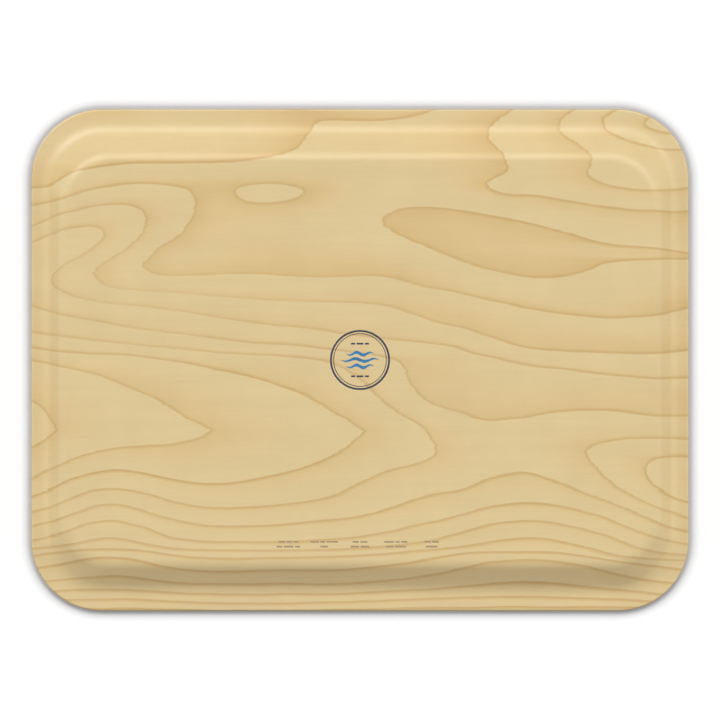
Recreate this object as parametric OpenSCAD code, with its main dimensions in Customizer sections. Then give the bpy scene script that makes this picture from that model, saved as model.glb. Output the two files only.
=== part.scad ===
// Moulded birch-laminate serving tray: veneers, glue films and facing sheets
// pressed together in one mould, with printed marks under the base.
// The underside of the base lies on z = 0 and the well opens upwards.

/* [Tray] */
// Overall length, along X
tray_l = 430; // [400:1:460]
// Overall width, along Y
tray_w = 328; // [300:1:350]
// Overall height
tray_h = 20.5; // [18:0.5:26]
// Plan radius of the outer corners
corner_r = 46; // [42:1:55]

/* [Rim and walls] */
// Width of the flat rim along the long sides
long_rim_w = 9.2; // [7:0.1:12]
// Width of the flat rim along the short sides
short_rim_w = 5.4; // [4:0.1:8]
// Run of the sloping wall on the long sides, folds included
long_wall_run = 25.4; // [23:0.1:30]
// Run of the sloping wall on the short sides, folds included
short_wall_run = 19.2; // [17:0.1:24]
// Plan radius of the corners where the wall meets the rim
rim_corner_r = 39; // [36:0.5:41]
// Plan radius of the corners where the wall meets the base
base_corner_r = 32; // [28:0.5:34]
// Radius of the fold from base to wall on the long sides, on the underside
long_low_fold_r = 9.5; // [9:0.5:10]
// Radius of the fold from wall to rim on the long sides, on the underside
long_high_fold_r = 12; // [10:0.5:12.5]
// Radius of the fold from base to wall on the short sides, on the underside
short_low_fold_r = 7.5; // [7:0.5:8]
// Radius of the fold from wall to rim on the short sides, on the underside
short_high_fold_r = 8.5; // [7:0.5:9]
// Rounding of the rim's sanded edge
edge_r = 1.2; // [0.6:0.1:1.25]

/* [Layers] */
// Thickness of one veneer
veneer_t = 0.62; // [0.55:0.01:0.8]
// Thickness of one glue film
glue_t = 0.06; // [0.05:0.01:0.1]
// Thickness of the printed sheet on top
decor_t = 0.12; // [0.1:0.01:0.2]
// Thickness of the clear wear film on top
overlay_t = 0.1; // [0.08:0.01:0.15]

/* [Printed marks] */
// Depth of the ink pressed into the base veneer
ink_t = 0.06; // [0.04:0.01:0.1]
// Outer diameter of the badge
badge_d = 39; // [34:0.5:44]
// Width of the badge's outer ring
badge_ring_w = 1.2; // [0.8:0.1:2]
// Width of the badge's fine inner ring
badge_line_w = 0.5; // [0.4:0.1:0.8]
// Gap between the badge's two rings
badge_gap = 0.9; // [0.6:0.1:1.5]
// Length of the longest wave in the badge
wave_l = 25; // [20:0.5:28]
// Thickness of each wave at its middle
wave_w = 2.2; // [1.6:0.1:2.6]
// Distance of the care marks from the tray's centre line
care_y = 119.8; // [112:0.1:121]
// Pitch of the groups of care marks
care_pitch = 23.3; // [22:0.1:26]
// Height of one care dash
dash_h = 1.1; // [0.8:0.1:1.4]

/* [Hidden] */

// Depth of each joint face, counted upwards from the underside.
ply_pitch = veneer_t + glue_t;
core_from = 2*ply_pitch;
top_from = 4*ply_pitch;
decor_from = top_from + veneer_t;
overlay_from = decor_from + decor_t;
board_t = overlay_from + overlay_t;

// Half sizes of the flat base, and how high the rim's underside stands.
base_half_l = tray_l/2 - short_rim_w - short_wall_run;
base_half_w = tray_w/2 - long_rim_w - long_wall_run;
rim_half_w = tray_w/2 - long_rim_w;
rise = tray_h - board_t;

// A wall is listed as its run, its two fold radii on the underside and its slope.
// The straight flank between the folds is tangent to both.
function wall_between(run, low_r, high_r) =
  let (both = low_r + high_r)
  [run, low_r, high_r, atan2(rise - both, run) + asin(both/norm([run, rise - both]))];
function run_of(wall) = wall[0];
function low_r_of(wall) = wall[1];
function high_r_of(wall) = wall[2];
function slope_of(wall) = wall[3];
long_wall = wall_between(long_wall_run, long_low_fold_r, long_high_fold_r);
short_wall = wall_between(short_wall_run, short_low_fold_r, short_high_fold_r);

// Height of a layer face at a given slope inside the low or the high fold.
function low_level(wall, angle, depth) =
  low_r_of(wall) - (low_r_of(wall) - depth)*cos(angle);
function high_level(wall, angle, depth) =
  rise - high_r_of(wall) + (high_r_of(wall) + depth)*cos(angle);

// How far a layer face at height z has moved out from the edge of the flat base.
function fold_low_x(wall, z, depth) =
  let (fold_r = low_r_of(wall) - depth)
  fold_r*sin(acos(min(1, (low_r_of(wall) - z)/fold_r)));
function fold_high_x(wall, z, depth) =
  let (fold_r = high_r_of(wall) + depth)
  run_of(wall) - fold_r*sin(acos(min(1, (z - rise + high_r_of(wall))/fold_r)));
function drift(wall, z, depth) =
  let (z_low = low_level(wall, slope_of(wall), depth),
       z_high = high_level(wall, slope_of(wall), depth))
  z <= z_low ? fold_low_x(wall, z, depth)
  : z >= z_high ? fold_high_x(wall, z, depth)
  : lookup(z, [[z_low, fold_low_x(wall, z_low, depth)],
               [z_high, fold_high_x(wall, z_high, depth)]]);
function half_l(z, depth) = base_half_l + drift(short_wall, z, depth);
function half_w(z, depth) = base_half_w + drift(long_wall, z, depth);

// Sampling of a corner and of a fold.
corner_steps = 8;
fold_steps = 4;

// Heights at which a layer face gets an outline, from the base up to the rim.
function fold_levels(depth) =
  let (long_slope = slope_of(long_wall), short_slope = slope_of(short_wall),
       low_ends = [low_level(long_wall, long_slope, depth),
                   low_level(short_wall, short_slope, depth)],
       high_ends = [high_level(long_wall, long_slope, depth),
                    high_level(short_wall, short_slope, depth)])
  concat([for (i = [0:fold_steps - 1]) low_level(long_wall, long_slope*i/fold_steps, depth)],
         [min(low_ends), max(low_ends), min(high_ends), max(high_ends)],
         [for (i = [fold_steps - 1:-1:0])
            high_level(long_wall, long_slope*i/fold_steps, depth)]);

// Plan radius of the corner on the underside, by how far out it lies.
function plan_r(w) = lookup(w, [[base_half_w, base_corner_r], [rim_half_w, rim_corner_r],
                                [tray_w/2, corner_r]]);

// One level outline of the tray: a rounded rectangle of half sizes a and b.
function ring(a, b, r, z) =
  [for (quarter = [0:3], i = [0:corner_steps])
    let (turn = 90*(quarter + i/corner_steps),
         side_x = quarter == 0 || quarter == 3 ? 1 : -1,
         side_y = quarter < 2 ? 1 : -1)
    [side_x*(a - r) + r*cos(turn), side_y*(b - r) + r*sin(turn), z]];

// Outline of a layer face at one level, given the matching level on the underside.
function layer_ring(z, z_under, depth) =
  let (a = half_l(z, depth), b = half_w(z, depth),
       a_under = half_l(z_under, 0), b_under = half_w(z_under, 0),
       inward = (a_under - a + b_under - b)/2)
  ring(a, b, plan_r(b_under) - inward, z);

// Inset of the rim's rounded edge at a given depth in the board.
function edge_inset(depth) =
  let (near = min(depth, board_t - depth))
  near >= edge_r ? 0 : edge_r - sqrt(edge_r*edge_r - pow(edge_r - near, 2));
function edge_ring(depth) =
  let (inset = edge_inset(depth))
  ring(tray_l/2 - inset, tray_w/2 - inset, corner_r - inset, rise + depth);

// All outlines of one layer face, from the flat base out to the rim's edge.
function layer_face(depth) =
  let (levels = fold_levels(depth), levels_under = fold_levels(0))
  concat([for (i = [0:len(levels) - 1]) layer_ring(levels[i], levels_under[i], depth)],
         [edge_ring(depth)]);
function reversed(list) = [for (i = [len(list) - 1:-1:0]) list[i]];

// A solid skinned over a stack of outlines that have the same number of points.
module skin(rings) {
  count = len(rings[0]);
  last = len(rings) - 1;
  walls = [for (k = [0:last - 1], i = [0:count - 1])
    let (next = (i + 1) % count)
    [k*count + i, (k + 1)*count + i, (k + 1)*count + next, k*count + next]];
  under = [for (i = [0:count - 1]) i];
  upper = [for (i = [count - 1:-1:0]) last*count + i];
  polyhedron(points = [for (outline = rings) each outline],
             faces = concat([under], walls, [upper]), convexity = 6);
}

// One layer of the board between two depths.
module layer(from, thickness) {
  skin(concat(layer_face(from), reversed(layer_face(from + thickness))));
}

module ring_band(outer_d, width, height) {
  difference() {
    cylinder(d = outer_d, h = height, $fn = 96);
    translate([0, 0, -1]) cylinder(d = outer_d - 2*width, h = height + 2, $fn = 96);
  }
}

// The badge's two rings: a bold outer one and a fine inner one.
module badge_rings(height) {
  ring_band(badge_d, badge_ring_w, height);
  ring_band(badge_d - 2*badge_ring_w - 2*badge_gap, badge_line_w, height);
}

// One wave: a sine ribbon that thins out to blunt ends.
wave_steps = 24;
wave_height = 0.9;
wave_spacing = 4.1;
function wave_point(s, length, edge) =
  [length*(s - 0.5), wave_height*sin(720*s) + edge*(0.12 + 0.88*sin(180*s))*wave_w/2];
module wave(length, height) {
  linear_extrude(height)
    polygon(concat([for (i = [0:wave_steps]) wave_point(i/wave_steps, length, -1)],
                   [for (i = [wave_steps:-1:0]) wave_point(i/wave_steps, length, 1)]));
}
module badge_waves(height) {
  for (row = [-1:1])
    translate([0, row*wave_spacing, 0]) wave(wave_l*(row == 0 ? 1 : 0.72), height);
}

// A row of dashes centred on x = 0, with a gap between neighbours.
dash_gap = 1;
function total(list, upto) = upto <= 0 ? 0 : list[upto - 1] + total(list, upto - 1);
module dash_row(lengths, height) {
  row_l = total(lengths, len(lengths)) + dash_gap*(len(lengths) - 1);
  for (i = [0:len(lengths) - 1])
    translate([total(lengths, i) + dash_gap*i - row_l/2, -dash_h/2, 0])
      cube([lengths[i], dash_h, height]);
}

// Short dashes above and below the waves, where a badge would carry words.
legend_y = 10.6;
legend_dashes = [2.6, 4.4, 2.6];
module legend_rows(height) {
  for (side = [-1, 1]) translate([0, side*legend_y, 0]) dash_row(legend_dashes, height);
}

// Five groups of two dash rows, where care notes would be printed.
care_row_pitch = 3.1;
care_dashes = [[[4.6, 3.2, 3.3], [3.8, 6.2, 3.4]],
               [[5.4, 3.1, 7.4], [5]],
               [[4, 4.6], [5.4, 5.6]],
               [[6.3, 2.6, 4.1], [5.2, 7.2]],
               [[3.8, 4.4], [7.6]]];
module care_rows(height) {
  for (group = [0:len(care_dashes) - 1], row = [0, 1])
    translate([care_pitch*(group - 2), care_y + care_row_pitch*(row - 0.5), 0])
      dash_row(care_dashes[group][row], height);
}

module printed_marks(height) {
  badge_rings(height);
  badge_waves(height);
  legend_rows(height);
  care_rows(height);
}

module base_face_veneer() {
  color("burlywood") difference() {
    layer(0, veneer_t);
    translate([0, 0, -1]) printed_marks(1 + ink_t);
  }
}
module glue_film_1() { color("saddlebrown") layer(veneer_t, glue_t); }
module lower_cross_veneer() { color("peru") layer(ply_pitch, veneer_t); }
module glue_film_2() { color("saddlebrown") layer(ply_pitch + veneer_t, glue_t); }
module core_veneer() { color("tan") layer(core_from, veneer_t); }
module glue_film_3() { color("saddlebrown") layer(core_from + veneer_t, glue_t); }
module upper_cross_veneer() { color("peru") layer(core_from + ply_pitch, veneer_t); }
module glue_film_4() { color("saddlebrown") layer(top_from - glue_t, glue_t); }
module top_face_veneer() { color("burlywood") layer(top_from, veneer_t); }
module decor_sheet() { color("navajowhite", 0.6) layer(decor_from, decor_t); }
module wear_overlay() { color("white", 0.4) layer(overlay_from, overlay_t); }
module badge_ring() { color("midnightblue") badge_rings(ink_t); }
module badge_emblem() { color("steelblue") badge_waves(ink_t); }
module badge_legend() { color("midnightblue") legend_rows(ink_t); }
module care_marks() { color("rosybrown") care_rows(ink_t); }

base_face_veneer();
glue_film_1();
lower_cross_veneer();
glue_film_2();
core_veneer();
glue_film_3();
upper_cross_veneer();
glue_film_4();
top_face_veneer();
decor_sheet();
wear_overlay();
badge_ring();
badge_emblem();
badge_legend();
care_marks();
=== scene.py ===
"""Looks of the moulded birch serving tray: plies, figure, printed marks, stage and light."""

import math

import bpy
from mathutils import Matrix, Vector


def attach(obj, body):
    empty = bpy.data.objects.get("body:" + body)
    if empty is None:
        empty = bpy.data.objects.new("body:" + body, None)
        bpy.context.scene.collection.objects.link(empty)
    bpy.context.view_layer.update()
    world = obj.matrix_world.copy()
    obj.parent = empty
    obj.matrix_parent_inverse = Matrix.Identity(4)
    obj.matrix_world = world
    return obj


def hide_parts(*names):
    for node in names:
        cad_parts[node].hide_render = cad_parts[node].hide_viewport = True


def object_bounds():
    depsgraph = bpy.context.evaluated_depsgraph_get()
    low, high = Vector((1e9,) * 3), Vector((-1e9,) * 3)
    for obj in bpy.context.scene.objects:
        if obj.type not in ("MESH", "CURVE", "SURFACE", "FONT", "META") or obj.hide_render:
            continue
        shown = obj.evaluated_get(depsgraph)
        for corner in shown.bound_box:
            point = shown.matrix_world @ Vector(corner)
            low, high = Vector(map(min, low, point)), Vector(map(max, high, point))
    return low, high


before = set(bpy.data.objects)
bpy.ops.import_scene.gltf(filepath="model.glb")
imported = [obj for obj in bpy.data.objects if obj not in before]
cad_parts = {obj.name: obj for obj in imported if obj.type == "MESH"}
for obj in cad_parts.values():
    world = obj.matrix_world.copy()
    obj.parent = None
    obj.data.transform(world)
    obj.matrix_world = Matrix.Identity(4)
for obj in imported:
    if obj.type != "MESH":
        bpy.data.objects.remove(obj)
cad_low, cad_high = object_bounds()

MM = 0.001

# ---------------------------------------------------------------- sizes, in millimetres

TRAY_L = (cad_high.x - cad_low.x) / MM
TRAY_W = (cad_high.y - cad_low.y) / MM
TRAY_H = (cad_high.z - cad_low.z) / MM
CORNER_R = 46.0
LONG_RIM_W = 9.2
SHORT_RIM_W = 5.4
LONG_WALL_RUN = 25.4
SHORT_WALL_RUN = 19.2
RIM_CORNER_R = 39.0
BASE_CORNER_R = 32.0
LONG_FOLDS = (9.5, 12.0)
SHORT_FOLDS = (7.5, 8.5)
EDGE_R = 1.2
VENEER_T = 0.62
GLUE_T = 0.06
PLY_PITCH = VENEER_T + GLUE_T
TOP_FROM = 4 * PLY_PITCH
DECOR_FROM = TOP_FROM + VENEER_T
DECOR_T = 0.12
OVERLAY_T = 0.10
BOARD_T = DECOR_FROM + DECOR_T + OVERLAY_T
INK_PROUD = 0.03

BASE_HALF_L = TRAY_L / 2 - SHORT_RIM_W - SHORT_WALL_RUN
BASE_HALF_W = TRAY_W / 2 - LONG_RIM_W - LONG_WALL_RUN
RIM_HALF_W = TRAY_W / 2 - LONG_RIM_W
RISE = TRAY_H - BOARD_T

CORNER_STEPS = 24
FOLD_STEPS = 8
EDGE_STEPS = 6
# Extra outlines this far inside the flat base and inside the rim's edge hold the shading flat.
BASE_HOLDS = (6.0, 0.8)
RIM_HOLDS = (1.6, 0.5, 0.0)
# How wide the rings of the inner layers are, and where smooth shading breaks.
BAND_W = SHORT_RIM_W - 1.0
SHARP_DEGREES = 30


# ---------------------------------------------------------------- the board's section

def lerp_through(points, x):
    """Straight-line interpolation through (x, y) points, held level past the ends."""
    if x <= points[0][0]:
        return points[0][1]
    for (x0, y0), (x1, y1) in zip(points, points[1:]):
        if x <= x1:
            return y0 + (y1 - y0) * (x - x0) / (x1 - x0)
    return points[-1][1]


class Wall:
    """Section of the wall on one pair of sides: base fold, straight flank, rim fold."""

    def __init__(self, run, folds):
        self.run = run
        self.low_r, self.high_r = folds
        both = self.low_r + self.high_r
        self.angle = math.atan2(RISE - both, run) + math.asin(both / math.hypot(run, RISE - both))

    def low_level(self, angle, depth):
        return self.low_r - (self.low_r - depth) * math.cos(angle)

    def high_level(self, angle, depth):
        return RISE - self.high_r + (self.high_r + depth) * math.cos(angle)

    def drift(self, z, depth):
        """How far a layer face at height z has moved out from the edge of the flat base."""
        low_r = self.low_r - depth
        high_r = self.high_r + depth

        def in_low(level):
            return low_r * math.sin(math.acos(min(1.0, (self.low_r - level) / low_r)))

        def in_high(level):
            share = min(1.0, (level - RISE + self.high_r) / high_r)
            return self.run - high_r * math.sin(math.acos(share))

        z_low = self.low_level(self.angle, depth)
        z_high = self.high_level(self.angle, depth)
        if z <= z_low:
            return in_low(z)
        if z >= z_high:
            return in_high(z)
        return lerp_through([(z_low, in_low(z_low)), (z_high, in_high(z_high))], z)


LONG_WALL = Wall(LONG_WALL_RUN, LONG_FOLDS)
SHORT_WALL = Wall(SHORT_WALL_RUN, SHORT_FOLDS)


def fold_levels(depth):
    """Heights at which a layer face gets an outline, from the base up to the rim."""
    angles = [LONG_WALL.angle * i / FOLD_STEPS for i in range(FOLD_STEPS + 1)]
    low = [LONG_WALL.low_level(angle, depth) for angle in angles]
    low_end = SHORT_WALL.low_level(SHORT_WALL.angle, depth)
    low += [low[-1] + (low_end - low[-1]) * i / 2 for i in (1, 2)]
    high = [LONG_WALL.high_level(angle, depth) for angle in angles]
    high_end = SHORT_WALL.high_level(SHORT_WALL.angle, depth)
    high += [high[-1] + (high_end - high[-1]) * i / 2 for i in (1, 2)]
    return low + list(reversed(high))


def half_sizes(z, depth):
    """Half length and half width of a layer face at height z."""
    return BASE_HALF_L + SHORT_WALL.drift(z, depth), BASE_HALF_W + LONG_WALL.drift(z, depth)


def plan_radius(half_w):
    """Corner radius on the underside, by how far out the outline lies."""
    return lerp_through([(BASE_HALF_W, BASE_CORNER_R), (RIM_HALF_W, RIM_CORNER_R),
                         (TRAY_W / 2, CORNER_R)], half_w)


def rounded_outline(half_l, half_w, radius, z):
    """One level outline, anticlockwise from above, as points in metres."""
    points = []
    for quarter in range(4):
        side_x = 1 if quarter in (0, 3) else -1
        side_y = 1 if quarter < 2 else -1
        for i in range(CORNER_STEPS + 1):
            turn = math.pi / 2 * (quarter + i / CORNER_STEPS)
            x = side_x * (half_l - radius) + radius * math.cos(turn)
            y = side_y * (half_w - radius) + radius * math.sin(turn)
            points.append((x * MM, y * MM, z * MM))
    return points


def layer_outline(z, z_under, depth, inset=0.0):
    """Outline of a layer face at height z, above the underside's outline at z_under."""
    half_l, half_w = half_sizes(z, depth)
    under_l, under_w = half_sizes(z_under, 0.0)
    inward = (under_l - half_l + under_w - half_w) / 2
    radius = plan_radius(under_w) - inward - inset
    return rounded_outline(half_l - inset, half_w - inset, radius, z)


def edge_inset(depth):
    """Inset of the rim's rounded edge at a given depth in the board."""
    near = min(depth, BOARD_T - depth)
    if near >= EDGE_R:
        return 0.0
    return EDGE_R - math.sqrt(EDGE_R ** 2 - (EDGE_R - near) ** 2)


def rim_outline(depth, inset):
    """Level outline in the flat rim, at a depth in the board and an inset from its edge."""
    half_l = TRAY_L / 2 - inset
    half_w = TRAY_W / 2 - inset
    return rounded_outline(half_l, half_w, CORNER_R - inset, RISE + depth)


def layer_face(depth):
    """Outlines of one layer face, from the flat base out to the rim's edge."""
    face = [layer_outline(depth, 0.0, depth, inset=hold) for hold in BASE_HOLDS]
    for z, z_under in zip(fold_levels(depth), fold_levels(0.0)):
        face.append(layer_outline(z, z_under, depth))
    for hold in RIM_HOLDS:
        face.append(rim_outline(depth, edge_inset(depth) + hold))
    return face


def edge_wall(depth_from, depth_to):
    """Outlines up the rim's rounded edge, between two depths, ends left out."""
    steps = max(1, round(EDGE_STEPS * (depth_to - depth_from) / VENEER_T))
    depths = [depth_from + (depth_to - depth_from) * i / steps for i in range(1, steps)]
    return [rim_outline(depth, edge_inset(depth)) for depth in depths]


# ---------------------------------------------------------------- mesh pieces

def mesh_piece(name, points, faces, material):
    """A smooth-shaded object made of points in metres, sharp where faces turn by much."""
    mesh = bpy.data.meshes.new(name)
    mesh.from_pydata(points, [], faces)
    mesh.validate()
    mesh.materials.append(material)
    for polygon in mesh.polygons:
        polygon.use_smooth = True
    mesh.set_sharp_from_angle(angle=math.radians(SHARP_DEGREES))
    piece = bpy.data.objects.new(name, mesh)
    bpy.context.scene.collection.objects.link(piece)
    return piece


def stacked(outlines, closed_ends=True, joined=False):
    """Points and faces of a skin over outlines that have the same number of points."""
    count = len(outlines[0])
    points = [point for outline in outlines for point in outline]
    pairs = [(k, k + 1) for k in range(len(outlines) - 1)]
    if joined:
        pairs.append((len(outlines) - 1, 0))
    faces = []
    for lower, upper in pairs:
        low, high = lower * count, upper * count
        for i in range(count):
            j = (i + 1) % count
            faces.append((high + j, high + i, low + i, low + j))
    if closed_ends:
        last = (len(outlines) - 1) * count
        faces.append(tuple(reversed(range(count))))
        faces.append(tuple(range(last, last + count)))
    return points, faces


def whole_layer(name, depth_from, depth_to, material):
    """A layer of the board as a smooth closed shell."""
    outlines = layer_face(depth_from) + edge_wall(depth_from, depth_to)
    outlines += list(reversed(layer_face(depth_to)))
    points, faces = stacked(outlines)
    return mesh_piece(name, points, faces, material)


def rim_band(name, depth_from, depth_to, material):
    """The part of an inner layer that shows at the rim's edge: a closed flat ring."""
    outlines = [rim_outline(depth_from, BAND_W), rim_outline(depth_from, edge_inset(depth_from))]
    outlines += edge_wall(depth_from, depth_to)
    outlines += [rim_outline(depth_to, edge_inset(depth_to)), rim_outline(depth_to, BAND_W)]
    points, faces = stacked(outlines, closed_ends=False, joined=True)
    return mesh_piece(name, points, faces, material)


# ---------------------------------------------------------------- shader building

class Graph:
    """Short calls for building one material's node tree."""

    def __init__(self, name):
        self.material = bpy.data.materials.new(name)
        self.material.use_nodes = True
        self.tree = self.material.node_tree
        self.shader = self.tree.nodes["Principled BSDF"]

    def feed(self, socket, value):
        """Links another node's output to a socket, or sets the socket's own value."""
        if isinstance(value, bpy.types.NodeSocket):
            self.tree.links.new(value, socket)
        else:
            socket.default_value = value

    def node(self, kind, inputs=None, **settings):
        """A new node with its settings, and its inputs by number or name."""
        made = self.tree.nodes.new(kind)
        for name, value in settings.items():
            setattr(made, name, value)
        for key, value in (inputs or {}).items():
            self.feed(made.inputs[key], value)
        return made

    def math(self, operation, *values):
        return self.node("ShaderNodeMath", dict(enumerate(values)), operation=operation).outputs[0]

    def vector_math(self, operation, inputs):
        return self.node("ShaderNodeVectorMath", inputs, operation=operation)

    def add(self, a, b):
        return self.math("ADD", a, b)

    def times(self, a, b):
        return self.math("MULTIPLY", a, b)

    def mapped(self, value, low, high, to_low=0.0, to_high=1.0, smooth=False):
        inputs = {0: value, 1: low, 2: high, 3: to_low, 4: to_high}
        kind = "SMOOTHSTEP" if smooth else "LINEAR"
        return self.node("ShaderNodeMapRange", inputs, interpolation_type=kind).outputs[0]

    def place_mm(self):
        """Place in the tray's own frame, in millimetres, as separate x, y and z."""
        coords = self.node("ShaderNodeTexCoord").outputs["Object"]
        scaled = self.vector_math("SCALE", {0: coords, "Scale": 1 / MM})
        split = self.node("ShaderNodeSeparateXYZ", {0: scaled.outputs[0]})
        return split.outputs[0], split.outputs[1], split.outputs[2]

    def point(self, x, y, z=0.0):
        return self.node("ShaderNodeCombineXYZ", {0: x, 1: y, 2: z}).outputs[0]

    def distance(self, place, centre_x, centre_y, turn, unit):
        """How far (x, y, 1) lies from a centre, along a turned axis and in the given unit."""
        axis_x = math.cos(math.radians(turn)) / unit
        axis_y = math.sin(math.radians(turn)) / unit
        row = (axis_x, axis_y, -centre_x * axis_x - centre_y * axis_y)
        return self.vector_math("DOT_PRODUCT", {0: place, 1: row}).outputs["Value"]

    def noise(self, point, size_x, size_y, size_z=1.0, detail=3.0, roughness=0.5, seed=0.0):
        """Noise from 0 to 1 whose blots are about size_x by size_y millimetres."""
        per_size = (1 / size_x, 1 / size_y, 1 / size_z)
        scaled = self.vector_math("MULTIPLY", {0: point, 1: per_size}).outputs[0]
        shift = (seed, seed * 0.7, seed * 1.3)
        moved = self.vector_math("ADD", {0: scaled, 1: shift}).outputs[0]
        inputs = {"Vector": moved, "Scale": 1.0, "Detail": detail, "Roughness": roughness}
        return self.node("ShaderNodeTexNoise", inputs).outputs[0]

    def mix(self, share, a, b):
        """Colour a, with a share of colour b mixed in."""
        made = self.node("ShaderNodeMix", data_type="RGBA", blend_type="MIX")
        self.feed(made.inputs[0], share)
        self.feed(made.inputs[6], a)
        self.feed(made.inputs[7], b)
        return made.outputs[2]

    def curve(self, value, points):
        """A smooth curve through (x, y) points, for x and y of any range."""
        low_x, high_x = points[0][0], points[-1][0]
        low_y = min(y for _, y in points)
        high_y = max(y for _, y in points)
        made = self.node("ShaderNodeFloatCurve", {1: self.mapped(value, low_x, high_x)})
        line = made.mapping.curves[0]
        wide, tall = high_x - low_x, high_y - low_y
        shares = [((x - low_x) / wide, (y - low_y) / tall) for x, y in points]
        line.points[0].location = shares[0]
        line.points[1].location = shares[-1]
        for share in shares[1:-1]:
            line.points.new(*share)
        for handle in line.points:
            handle.handle_type = "AUTO_CLAMPED"
        made.mapping.update()
        return self.mapped(made.outputs[0], 0.0, 1.0, low_y, high_y)

    def ramp(self, value, stops):
        """A colour ramp through (share, colour) stops."""
        made = self.node("ShaderNodeValToRGB", {0: value})
        elements = made.color_ramp.elements
        while len(elements) < len(stops):
            elements.new(0.5)
        for element, (share, colour) in zip(elements, stops):
            element.position = share
            element.color = colour
        return made.outputs[0]

    def bump(self, height, strength, distance_mm):
        inputs = {"Strength": strength, "Distance": distance_mm * MM, "Height": height}
        return self.node("ShaderNodeBump", inputs).outputs["Normal"]


def srgb(red, green, blue):
    """A colour given in 8-bit display values, as the linear colour that shaders use."""
    def linear(value):
        share = value / 255
        return share / 12.92 if share <= 0.04045 else ((share + 0.055) / 1.055) ** 2.4
    return (linear(red), linear(green), linear(blue), 1.0)


# ---------------------------------------------------------------- birch

# The figure of the base veneer is a count of growth rings over the sheet. It is lowest along
# a heart line and rises on both sides of it. Places and lengths are in millimetres.
HEART_Y = (46.0, 64.0)
HEART_STEP_X = (50.0, 200.0)
# Rings counted away from the heart line to each side of it, and along it.
RINGS_ABOVE = [(0, 0.0), (24, 0.4), (44, 0.84), (53, 1.65), (64, 2.45), (79, 3.1), (89, 3.75),
               (100, 4.3), (125, 4.5), (210, 4.55)]
RINGS_BELOW = [(0, 0.0), (32, 0.35), (50, 0.9), (62, 1.65), (73, 2.5), (82, 4.2), (100, 6.1),
               (112, 8.0), (124, 10.4)]
RINGS_ALONG = [(-220, -3.4), (-193, -3.05), (-95, -2.0), (1, -1.05), (56, -0.25), (95, 0.5),
               (120, 0.7), (180, 0.6), (220, 0.4)]
# How far from the heart line the count along it still tells.
REACH_ABOVE = 92.0
REACH_BELOW = 60.0
# Swellings and hollows of the trunk: x, y, half length, half width, turn in degrees, rings.
SWELLINGS = [
    (-173, -82, 55, 25, -21, -2.2),
    (-222, -63, 42, 25, -21, -1.4),
    (-212, -116, 24, 9, 0, 0.5),
    (-126, -64, 40, 14, -8, 0.55),
    (-186, -59, 30, 10, -5, 0.45),
    (-165, 103, 41, 42, 0, 1.65),
    (115, 120, 75, 36, 0, 1.85),
    (80, -79, 106, 29, 9, 0.78),
    (188, -69, 58, 4, 2, 0.55),
    (225, 84, 80, 27, 15, -2.3),
    (44, 22, 50, 24, 25, 1.1),
    (95, 4, 44, 26, 10, 0.35),
    (-60, -20, 80, 26, 0, 0.4),
    (25, 82, 38, 17, 0, 0.5),
    (-56, -109, 44, 13, 0, -0.85),
    (-92, -104, 16, 9, 0, 0.2),
    (186, -118, 84, 20, 0, -1.75),
    (94, -112, 22, 7, 0, -0.45),
    (236, -152, 118, 20, 0, -2.75),
    (205, -163, 60, 20, 0, -1.6),
    (-105, -148, 68, 22, 0, 1.3),
    (-205, -142, 62, 22, 0, 1.0),
    (20, -168, 45, 14, 0, 1.0),
    (20, -56, 35, 16, 15, -0.25),
    (220, -34, 45, 14, 0, -0.45),
    (50, -27, 30, 11, 10, 0.35),
    (215, 36, 50, 14, 0, 0.3),
]

# Colours across one ring, from just past a latewood line to the next one.
RING_TONES = [
    (0.0, srgb(214, 182, 124)),
    (0.12, srgb(217, 187, 130)),
    (0.28, srgb(220, 192, 137)),
    (0.50, srgb(221, 196, 144)),
    (0.80, srgb(222, 198, 147)),
    (1.0, srgb(222, 198, 147)),
]
PLAIN_TONE = srgb(222, 198, 147)
LINE_TONE = srgb(202, 165, 104)
# How far a line fades out past its sharp edge and before it.
LINE_PAST = 2.2
LINE_BEFORE = 0.8
# The slope is read over this step, and a flat spot counts as this steep.
SLOPE_STEP = 1.0
LEAST_SLOPE = 0.012
# Added to a count before it is cut into whole rings, to keep it above zero.
COUNT_LIFT = 20.0
# How far fibres, sway and waves shift the lines.
FIBRE_SHIFT = 1.0
SWAY_SHIFT = 3.0
WAVE_SHIFT = 1.2
# Where the base veneer's lines are faint: x, y, half length, half width.
FAINT_PATCH = (-100, -52, 165, 44)
LINE_STRENGTH = 0.9
FAINT_STRENGTH = 0.25
# The serving side: rings over its hills, rings per millimetre across it, and its lines.
HILL_RINGS = 9.0
TILT_RINGS = 0.022
QUIET_STRENGTH = 0.7
# Light and dark of the veneers' side grain, of their end grain, and of the glue.
SIDE_GRAIN = (srgb(206, 170, 118), srgb(226, 196, 146))
END_GRAIN = (srgb(150, 108, 66), srgb(186, 146, 98))
GLUE_TONES = (srgb(78, 48, 28), srgb(112, 74, 44))


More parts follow.
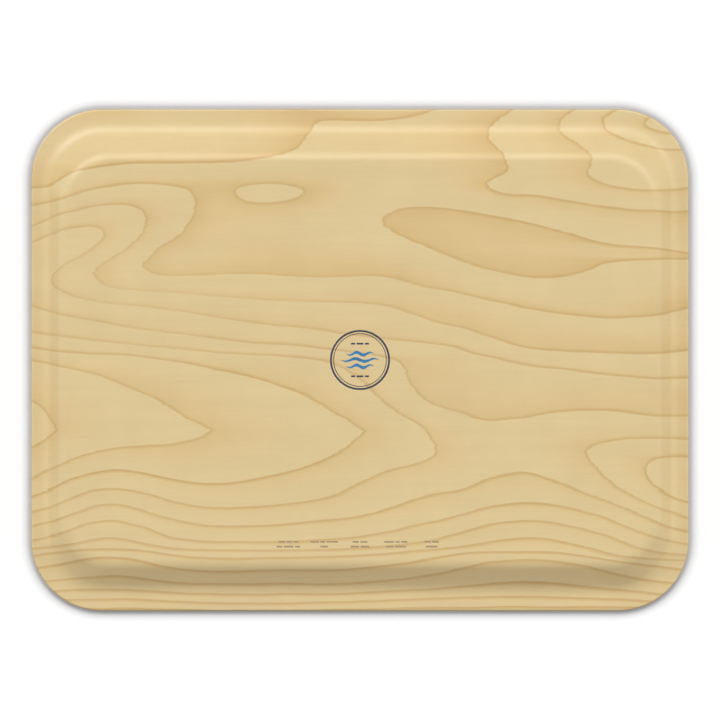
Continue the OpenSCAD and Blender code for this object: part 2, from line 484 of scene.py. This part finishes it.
def ring_count(g, x, y):
    """Growth rings counted over the base veneer, as a smooth height field."""
    heart = g.mapped(x, *HEART_STEP_X, *HEART_Y, smooth=True)
    away = g.math("SUBTRACT", y, heart)
    above = g.math("MAXIMUM", g.times(away, -1.0), 0.0)
    room = g.math("SUBTRACT", TRAY_W / 2, heart)
    below = g.times(g.math("MAXIMUM", away, 0.0), TRAY_W / 2 - HEART_Y[0])
    below = g.math("DIVIDE", below, room)
    count = g.add(g.curve(above, RINGS_ABOVE), g.curve(below, RINGS_BELOW))
    fade_above = g.math("POWER", g.math("DIVIDE", above, REACH_ABOVE), 3.0)
    fade_below = g.math("POWER", g.math("DIVIDE", below, REACH_BELOW), 2.0)
    fade = g.math("EXPONENT", g.times(g.add(fade_above, fade_below), -1.0))
    count = g.add(count, g.times(g.curve(x, RINGS_ALONG), fade))
    place = g.point(x, y, 1.0)
    for centre_x, centre_y, half_l, half_w, turn, rings in SWELLINGS:
        along = g.distance(place, centre_x, centre_y, turn, half_l)
        across = g.distance(place, centre_x, centre_y, turn + 90, half_w)
        away = g.math("MULTIPLY_ADD", along, along, g.times(across, across))
        swelling = g.math("EXPONENT", g.times(away, -1.0))
        count = g.math("MULTIPLY_ADD", swelling, rings, count)
    return count


def faintness(g, x, y):
    """1 in the middle of the base veneer's faint patch, 0 well outside it."""
    centre_x, centre_y, half_l, half_w = FAINT_PATCH
    along = g.math("DIVIDE", g.add(x, -centre_x), half_l)
    across = g.math("DIVIDE", g.add(y, -centre_y), half_w)
    away = g.add(g.times(along, along), g.times(across, across))
    return g.math("EXPONENT", g.times(away, -1.0))


def ring_colour(g, field, x, y, strength):
    """Colour of a ring field, whose lines differ in strength and keep their width."""
    count = field(g, x, y)
    rise_x = g.math("SUBTRACT", field(g, g.add(x, SLOPE_STEP), y), count)
    rise_y = g.math("SUBTRACT", field(g, x, g.add(y, SLOPE_STEP)), count)
    slope = g.math("SQRT", g.add(g.times(rise_x, rise_x), g.times(rise_y, rise_y)))
    slope = g.math("MAXIMUM", slope, LEAST_SLOPE)
    share = g.math("FRACT", g.add(count, COUNT_LIFT))
    past = g.math("DIVIDE", share, slope)
    before = g.math("DIVIDE", g.math("SUBTRACT", 1.0, share), slope)
    line = g.math("MAXIMUM", g.mapped(past, 0.0, LINE_PAST, 1.0, 0.0, smooth=True),
                  g.mapped(before, 0.0, LINE_BEFORE, 1.0, 0.0, smooth=True))
    line_id = g.math("FLOOR", g.add(count, COUNT_LIFT + 0.5))
    chance = g.node("ShaderNodeTexWhiteNoise", {"W": line_id}, noise_dimensions="1D").outputs[0]
    along = g.noise(g.point(x, y), 90, 30, detail=2.0, seed=51.0)
    own = g.times(g.mapped(chance, 0.0, 1.0, 0.75, 1.0), g.mapped(along, 0.3, 0.7, 0.75, 1.1))
    line = g.times(line, g.times(own, strength))
    # Wide rings show their tones more than close ones, and outer rings more than inner ones.
    depth = g.times(g.mapped(slope, 0.03, 0.12, 1.0, 0.4), g.mapped(count, 2.5, 4.0, 0.6, 1.0))
    return g.mix(line, g.mix(depth, PLAIN_TONE, g.ramp(share, RING_TONES)), LINE_TONE)


def ragged_place(g, x, y, seed):
    """Shifts a place a little, so that ring lines waver and break into fibres."""
    place = g.point(x, y)
    fibre = g.noise(place, 26, 1.1, detail=2.0, seed=seed)
    sway = g.noise(place, 46, 17, detail=2.0, seed=seed + 5)
    wave = g.noise(place, 60, 24, detail=2.0, seed=seed + 9)
    shift_x = g.add(g.mapped(fibre, 0.25, 0.75, -FIBRE_SHIFT, FIBRE_SHIFT),
                    g.mapped(sway, 0.2, 0.8, -SWAY_SHIFT, SWAY_SHIFT))
    shift_y = g.mapped(wave, 0.2, 0.8, -WAVE_SHIFT, WAVE_SHIFT)
    return g.add(x, shift_x), g.add(y, shift_y)


def fibre_detail(g, place, seed):
    """Streaks, pores and soft flame of birch: brightness near 1, bump height, broad bands."""
    streak = g.noise(place, 34, 0.55, detail=4.0, roughness=0.6, seed=seed)
    broad = g.noise(place, 120, 6.0, detail=3.0, seed=seed + 3)
    flame = g.noise(place, 22, 34, detail=3.0, roughness=0.55, seed=seed + 7)
    pore = g.noise(place, 7.0, 0.22, detail=1.0, seed=seed + 11)
    pore_mark = g.mapped(pore, 0.66, 0.74, smooth=True)
    shade = g.mapped(streak, 0.3, 0.7, 0.982, 1.015)
    shade = g.times(shade, g.mapped(broad, 0.3, 0.7, 0.985, 1.012))
    shade = g.times(shade, g.mapped(flame, 0.25, 0.75, 0.975, 1.02))
    shade = g.times(shade, g.mapped(pore_mark, 0.0, 1.0, 1.0, 0.95))
    height = g.math("SUBTRACT", g.times(streak, 0.6), g.times(pore_mark, 0.5))
    return shade, height, broad


def finish_birch(g, colour, shade, height, broad):
    """Puts colour, shade and fibres on the shader, under a thin satin lacquer."""
    toned = g.vector_math("SCALE", {0: colour, "Scale": shade}).outputs[0]
    g.feed(g.shader.inputs["Base Color"], toned)
    g.feed(g.shader.inputs["Roughness"], g.mapped(broad, 0.3, 0.7, 0.40, 0.50))
    g.shader.inputs["Specular IOR Level"].default_value = 0.4
    g.shader.inputs["Coat Weight"].default_value = 0.15
    g.shader.inputs["Coat Roughness"].default_value = 0.28
    g.shader.inputs["Coat IOR"].default_value = 1.5
    g.feed(g.shader.inputs["Normal"], g.bump(height, 0.35, 0.05))
    return g.material


def birch_face(name):
    """Lacquered birch with the figure of the base veneer."""
    g = Graph(name)
    x, y, _ = g.place_mm()
    strength = g.mapped(faintness(g, x, y), 0.0, 1.0, LINE_STRENGTH, FAINT_STRENGTH)
    colour = ring_colour(g, ring_count, *ragged_place(g, x, y, 2.0), strength)
    shade, height, broad = fibre_detail(g, g.point(x, y), 31.0)
    return finish_birch(g, colour, shade, height, broad)


def rolling_count(g, x, y):
    """Growth rings of the serving side, which has a quiet figure of its own."""
    hills = g.noise(g.point(x, y), 260, 75, detail=1.0, seed=77.0)
    return g.add(g.times(hills, HILL_RINGS), g.times(y, TILT_RINGS))


def plain_birch(name):
    """Clear-filmed birch of the serving side."""
    g = Graph(name)
    x, y, _ = g.place_mm()
    colour = ring_colour(g, rolling_count, *ragged_place(g, x, y, 60.0), QUIET_STRENGTH)
    shade, height, broad = fibre_detail(g, g.point(x, y), 83.0)
    return finish_birch(g, colour, shade, height, broad)


def ply_edge(name, grain_along_x):
    """The sanded edge of an inner veneer: pale side grain, darker end grain."""
    g = Graph(name)
    x, y, z = g.place_mm()
    normal = g.node("ShaderNodeNewGeometry").outputs["Normal"]
    split = g.node("ShaderNodeSeparateXYZ", {0: normal})
    across = g.math("ABSOLUTE", split.outputs[0 if grain_along_x else 1])
    end_grain = g.mapped(across, 0.55, 0.85, smooth=True)
    place = g.point(x, y, z)
    side = g.mix(g.noise(place, 9, 9, 0.12, seed=3.0), *SIDE_GRAIN)
    end = g.mix(g.noise(place, 0.5, 0.5, 0.25, seed=8.0), *END_GRAIN)
    g.feed(g.shader.inputs["Base Color"], g.mix(end_grain, side, end))
    patchy = g.noise(place, 3, 3, 3, seed=5.0)
    g.feed(g.shader.inputs["Roughness"], g.mapped(patchy, 0.3, 0.7, 0.45, 0.6))
    grit = g.noise(place, 0.6, 0.6, 0.15, seed=9.0)
    g.feed(g.shader.inputs["Normal"], g.bump(grit, 0.3, 0.04))
    return g.material


def glue_line(name):
    """Set resin glue, dark brown and uneven."""
    g = Graph(name)
    place = g.point(*g.place_mm())
    tone = g.mix(g.noise(place, 5, 5, 5, seed=4.0), *GLUE_TONES)
    g.feed(g.shader.inputs["Base Color"], tone)
    patchy = g.noise(place, 2, 2, 2, seed=6.0)
    g.feed(g.shader.inputs["Roughness"], g.mapped(patchy, 0.3, 0.7, 0.35, 0.5))
    return g.material


def ink(name, colour, spread):
    """Printed ink: slightly uneven colour, with the wood's fibres telling through."""
    g = Graph(name)
    x, y, _ = g.place_mm()
    place = g.point(x, y)
    streak = g.noise(place, 30, 0.5, detail=3.0, seed=31.0)
    blot = g.noise(place, 1.4, 1.1, detail=2.0, seed=12.0)
    pale = [min(1.0, part * (1 + spread) + 0.02 * spread) for part in colour[:3]] + [1.0]
    tone = g.mix(g.mapped(g.add(streak, blot), 0.75, 1.25), colour, pale)
    g.feed(g.shader.inputs["Base Color"], tone)
    g.feed(g.shader.inputs["Roughness"], g.mapped(blot, 0.3, 0.7, 0.42, 0.52))
    g.shader.inputs["Coat Weight"].default_value = 0.35
    g.shader.inputs["Coat Roughness"].default_value = 0.24
    g.feed(g.shader.inputs["Normal"], g.bump(streak, 0.25, 0.04))
    return g.material


# ---------------------------------------------------------------- the board

def stand_for(piece, slot, *nodes):
    """Puts a piece on the tray's body in place of its CAD nodes. The slot argument is not used."""
    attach(piece, "root")
    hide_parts(*nodes)


def build_board():
    """Both outer faces in full, and the inner layers where the rim's edge shows them."""
    base = whole_layer("base_face", 0.0, VENEER_T, birch_face("birch_base_face"))
    # The printed marks lie flush in the underside, so the veneer's face sits a hair above them.
    base.data.transform(Matrix.Translation((0, 0, INK_PROUD * MM)))
    stand_for(base, "birch_face", "base_face_veneer")
    serving = whole_layer("serving_face", TOP_FROM, BOARD_T, plain_birch("birch_serving_face"))
    stand_for(serving, "birch_face", "top_face_veneer", "wear_overlay")
    cross = ply_edge("ply_edge_cross", grain_along_x=False)
    along = ply_edge("ply_edge_along", grain_along_x=True)
    glue = glue_line("glue_line")
    plies = [("lower_cross_veneer", cross, "birch_cross"), ("core_veneer", along, "birch_long"),
             ("upper_cross_veneer", cross, "birch_cross")]
    for layer, (node, material, slot) in enumerate(plies, 1):
        start = layer * PLY_PITCH
        band = rim_band(node.replace("veneer", "edge"), start, start + VENEER_T, material)
        stand_for(band, slot, node)
    for layer in range(1, 5):
        start = (layer - 1) * PLY_PITCH + VENEER_T
        band = rim_band(f"glue_line_{layer}", start, start + GLUE_T, glue)
        stand_for(band, "glue_film", f"glue_film_{layer}")


# ---------------------------------------------------------------- printed marks

# The two lines round the well: inset from the flat base's edge, and width.
BORDER_LINES = ((10.0, 2.2), (14.0, 0.8))


def border_ring(inset, width):
    """Outlines of a thin printed line round the well, on the serving side."""
    def outline(hold, z):
        return rounded_outline(BASE_HALF_L - hold, BASE_HALF_W - hold, BASE_CORNER_R - hold, z)

    low = BOARD_T - INK_PROUD
    high = BOARD_T + INK_PROUD
    corners = ((inset + width, low), (inset, low), (inset, high), (inset + width, high))
    return [outline(hold, z) for hold, z in corners]


def build_border(navy):
    """The printed lines of the serving side, as one piece."""
    points = []
    faces = []
    for inset, width in BORDER_LINES:
        ring = border_ring(inset, width)
        ring_points, ring_faces = stacked(ring, closed_ends=False, joined=True)
        faces += [tuple(i + len(points) for i in face) for face in ring_faces]
        points += ring_points
    stand_for(mesh_piece("border_lines", points, faces, navy), "decor_sheet", "decor_sheet")


def dress_marks():
    """The printed marks keep their own solids and get ink."""
    navy = ink("ink_navy", srgb(16, 28, 62), 0.3)
    build_border(navy)
    blue = ink("ink_blue", srgb(8, 96, 140), 1.0)
    grey = ink("ink_grey", srgb(156, 136, 100), 0.25)
    inks = {"badge_ring": navy, "badge_legend": navy, "badge_emblem": blue, "care_marks": grey}
    for node, material in inks.items():
        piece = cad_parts[node]
        piece.data.materials.clear()
        piece.data.materials.append(material)


# ---------------------------------------------------------------- stage, light and camera

WHITE = (1.0, 1.0, 1.0, 1.0)
WORLD_GLOW = 0.49
# Half the width of the two stage sheets in metres, their own tones and glows, and the
# backdrop's gap over the tray in millimetres.
STAGE_HALF = 6.0
FLOOR_TONE = 0.4
FLOOR_GLOW = 0.44
BACKDROP_TONE = 0.5
BACKDROP_GLOW = 0.53
BACKDROP_GAP = 1.0
# The painted shade round the tray, where the sheets' glow darkens as things close them in: its
# reach in millimetres, the openness it spans, its colour.
PAINTED_SHADE_REACH = 8.0
PAINTED_SHADE_SPAN = (0.74, 0.98)
PAINTED_SHADE_TONE = (0.07, 0.08, 0.11, 1.0)
# Lights: name, direction towards the lamp, spread in degrees, strength in units of pi, and
# whether it lights surfaces ("fill"), shows in their gloss ("sheen"), or both.
LIGHTS = [
    ("fill_below", (0.0, -0.539, -0.842), 40, 0.416, "fill"),
    ("fill_left", (-0.94, -0.22, -0.26), 40, 0.295, "fill"),
    ("fill_right", (0.94, -0.22, -0.26), 40, 0.295, "fill"),
    ("sheen_below", (0.0, -0.701, -0.713), 40, 0.27, "sheen"),
    ("sheen_left", (-0.45, -0.54, -0.71), 20, 0.42, "sheen"),
    ("sheen_right", (0.54, -0.45, -0.71), 10, 0.2, "sheen"),
    ("key_above", (-0.35, -0.5, 0.79), 40, 0.55, "both"),
]


def one_sided(name, colour, glow):
    """A pale matt glowing sheet that shows from its front only, with a painted soft shadow round
    what it touches.
    """
    g = Graph(name)
    g.shader.inputs["Roughness"].default_value = 0.9
    g.shader.inputs["Specular IOR Level"].default_value = 0.1
    g.shader.inputs["Base Color"].default_value = (colour, colour, colour, 1.0)
    # Painted shadow: the glow darkens towards the shade tone where nearby things close the sheet
    # in.
    near = g.node("ShaderNodeAmbientOcclusion", {"Distance": PAINTED_SHADE_REACH * MM}, samples=16)
    openness = g.mapped(near.outputs["AO"], *PAINTED_SHADE_SPAN)
    g.feed(g.shader.inputs["Emission Color"], g.mix(openness, PAINTED_SHADE_TONE, WHITE))
    g.shader.inputs["Emission Strength"].default_value = glow
    behind = g.node("ShaderNodeNewGeometry").outputs["Backfacing"]
    clear = g.node("ShaderNodeBsdfTransparent").outputs[0]
    mixed = g.node("ShaderNodeMixShader", {0: behind, 1: g.shader.outputs[0], 2: clear})
    output = g.tree.nodes["Material Output"]
    g.feed(output.inputs["Surface"], mixed.outputs[0])
    return g.material


def stage_sheet(name, z, faces_up, colour, glow):
    """A large level sheet seen only by the camera, so that it blocks no light."""
    half = STAGE_HALF
    corners = [(-half, -half, z), (half, -half, z), (half, half, z), (-half, half, z)]
    face = (0, 1, 2, 3) if faces_up else (3, 2, 1, 0)
    sheet = mesh_piece(name, corners, [face], one_sided(name, colour, glow))
    sheet.visible_shadow = False
    sheet.visible_diffuse = False
    sheet.visible_glossy = False
    sheet.visible_transmission = False


def soft_light(name, towards, spread_degrees, strength, kind):
    """Even light from far off, softened over a wide angle."""
    data = bpy.data.lights.new(name, "SUN")
    data.angle = math.radians(spread_degrees)
    data.energy = strength * math.pi
    light = bpy.data.objects.new(name, data)
    light.rotation_euler = Vector(towards).to_track_quat("Z", "Y").to_euler()
    light.visible_glossy = kind != "fill"
    light.visible_diffuse = kind != "sheen"
    bpy.context.scene.collection.objects.link(light)


def set_world(strength):
    world = bpy.data.worlds.new("studio")
    world.use_nodes = True
    background = world.node_tree.nodes["Background"]
    background.inputs[0].default_value = WHITE
    background.inputs[1].default_value = strength
    bpy.context.scene.world = world


# The camera's distance below the rim, and the width of what it sees there, in metres.
CAMERA_AWAY = 3.0
FIELD_W = 0.4712


def set_camera():
    """Straight up at the underside, with +X to the right and +Y down."""
    data = bpy.data.cameras.new("camera")
    rim_z = (RISE + BOARD_T / 2) * MM
    data.lens = data.sensor_width * CAMERA_AWAY / FIELD_W
    data.clip_end = 50.0
    camera = bpy.data.objects.new("camera", data)
    camera.location = (0.0, 0.0, rim_z - CAMERA_AWAY)
    camera.rotation_euler = (math.pi, 0.0, 0.0)
    bpy.context.scene.collection.objects.link(camera)
    bpy.context.scene.camera = camera


def set_stage():
    stage_sheet("floor", 0.0, True, FLOOR_TONE, FLOOR_GLOW)
    stage_sheet("backdrop", (TRAY_H + BACKDROP_GAP) * MM, False, BACKDROP_TONE, BACKDROP_GLOW)
    set_world(WORLD_GLOW)
    for light in LIGHTS:
        soft_light(*light)
    bpy.context.scene.view_settings.view_transform = "Standard"


set_camera()
build_board()
dress_marks()
set_stage()
